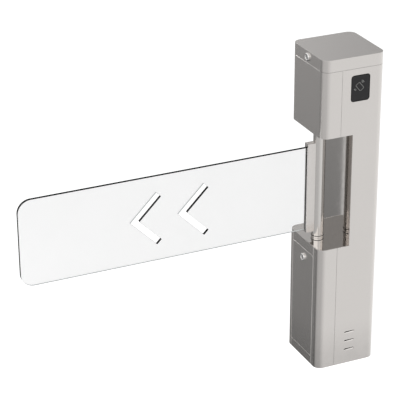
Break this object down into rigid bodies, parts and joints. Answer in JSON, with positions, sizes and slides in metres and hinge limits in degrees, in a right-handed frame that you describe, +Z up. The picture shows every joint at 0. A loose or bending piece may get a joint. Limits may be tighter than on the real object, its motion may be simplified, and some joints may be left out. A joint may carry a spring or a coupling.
{
  "type": "optical turnstile",
  "caption": "Swing-gate turnstile post: square stainless column with a side notch, a motor-driven pole, a clear swing panel and a flush card reader.",
  "frame": {"origin": "centre of the anchor hole pattern on the underside of the post's base, at floor level", "axes": "+Z up; +X to the right along the front face that holds the card reader; +Y to the back; the panel points to -X at rest"},
  "size_m": [1.094, 0.2, 1],
  "materials": {
    "satin_steel": "fine satin stainless",
    "polished_steel": "bright stainless, nearly a mirror",
    "plain_steel": "plain steel plate",
    "machined_steel": "turned and ground steel",
    "cast_alloy": "machined alloy",
    "dark_casing": "black painted metal",
    "black_plastic": "black moulded plastic",
    "light_plastic": "light grey moulded plastic",
    "gear_plastic": "off-white moulded gear plastic",
    "reader_gloss": "glossy smoked plastic",
    "clear_panel": "clear polished acrylic",
    "black_rubber": "black rubber",
    "board_green": "green circuit board",
    "lock_chrome": "plated lock"
  },
  "bodies": {
    "post": {"base_plate": "plain_steel", "column_shell": "satin_steel", "lower_front_corner": "satin_steel", "lower_rear_corner": "satin_steel", "door_frame": "satin_steel", "door_gasket": "black_rubber", "upper_shell": "satin_steel", "seam_strips": "plain_steel", "lid_seat_frame": "plain_steel", "notch_wall": "polished_steel", "notch_floor": "polished_steel", "notch_ceiling": "polished_steel", "lower_collar": "satin_steel", "upper_collar": "satin_steel", "drive_plate": "plain_steel", "support_angles": "plain_steel", "upper_plate": "plain_steel", "lower_bearing_housing": "cast_alloy", "upper_bearing_housing": "cast_alloy", "lower_bearing": "machined_steel", "upper_bearing": "machined_steel", "drive_screws": "machined_steel", "drive_standoffs": "machined_steel", "motor_plate": "plain_steel", "gearbox": "cast_alloy", "motor": "dark_casing", "motor_brake": "dark_casing", "encoder": "dark_casing", "limit_sensors": "black_plastic", "equipment_plate": "plain_steel", "power_supply": "plain_steel", "din_rail": "plain_steel", "terminal_blocks": "light_plastic", "control_board": "board_green", "board_components": "black_plastic", "reader_window": "reader_gloss", "reader_housing": "black_plastic", "reader_board": "board_green"},
    "arm": {"pole_tube": "satin_steel", "pole_plugs": "machined_steel", "lower_shaft": "machined_steel", "upper_shaft": "machined_steel", "clamp_front": "satin_steel", "clamp_rear": "satin_steel", "clamp_screws": "machined_steel", "panel_liners": "black_rubber", "swing_panel": "clear_panel", "shaft_gear": "gear_plastic", "shaft_coupling": "cast_alloy", "gearbox_shaft": "machined_steel", "sensor_disc": "black_plastic"},
    "encoder_gear": {"encoder_gear": "gear_plastic"},
    "door": {"access_door": "satin_steel", "door_lock_body": "lock_chrome"},
    "door_lock": {"door_lock_core": "lock_chrome", "door_lock_cam": "lock_chrome"},
    "lid": {"lid": "satin_steel", "lid_lock_body": "lock_chrome"},
    "lid_lock": {"lid_lock_core": "lock_chrome", "lid_lock_cam": "lock_chrome"}
  },
  "joints": [
    {"name": "arm_swing", "type": "hinge", "parent": "post", "child": "arm", "pos_m": [-0.055, 0, 0.575], "axis": [0, 0, 1], "range_deg": [-90, 90]},
    {"name": "encoder_spin", "type": "hinge", "parent": "post", "child": "encoder_gear", "pos_m": [-0.0009, 0, 0.3], "axis": [0, 0, 1], "range_deg": [-180, 180]},
    {"name": "door_tilt", "type": "hinge", "parent": "post", "child": "door", "pos_m": [-0.1, 0, 0.028], "axis": [0, -1, 0], "range_deg": [0, 80]},
    {"name": "door_lock_turn", "type": "hinge", "parent": "door", "child": "door_lock", "pos_m": [-0.1, 0, 0.341], "axis": [1, 0, 0], "range_deg": [0, 90]},
    {"name": "lid_tilt", "type": "hinge", "parent": "post", "child": "lid", "pos_m": [0.1, 0, 0.964], "axis": [0, 1, 0], "range_deg": [0, 80]},
    {"name": "lid_lock_turn", "type": "hinge", "parent": "lid", "child": "lid_lock", "pos_m": [-0.1, 0, 0.9825], "axis": [1, 0, 0], "range_deg": [0, 90]}
  ],
  "couplings": [
    {"joint": "encoder_spin", "follows": "arm_swing", "ratio": -2}
  ]
}
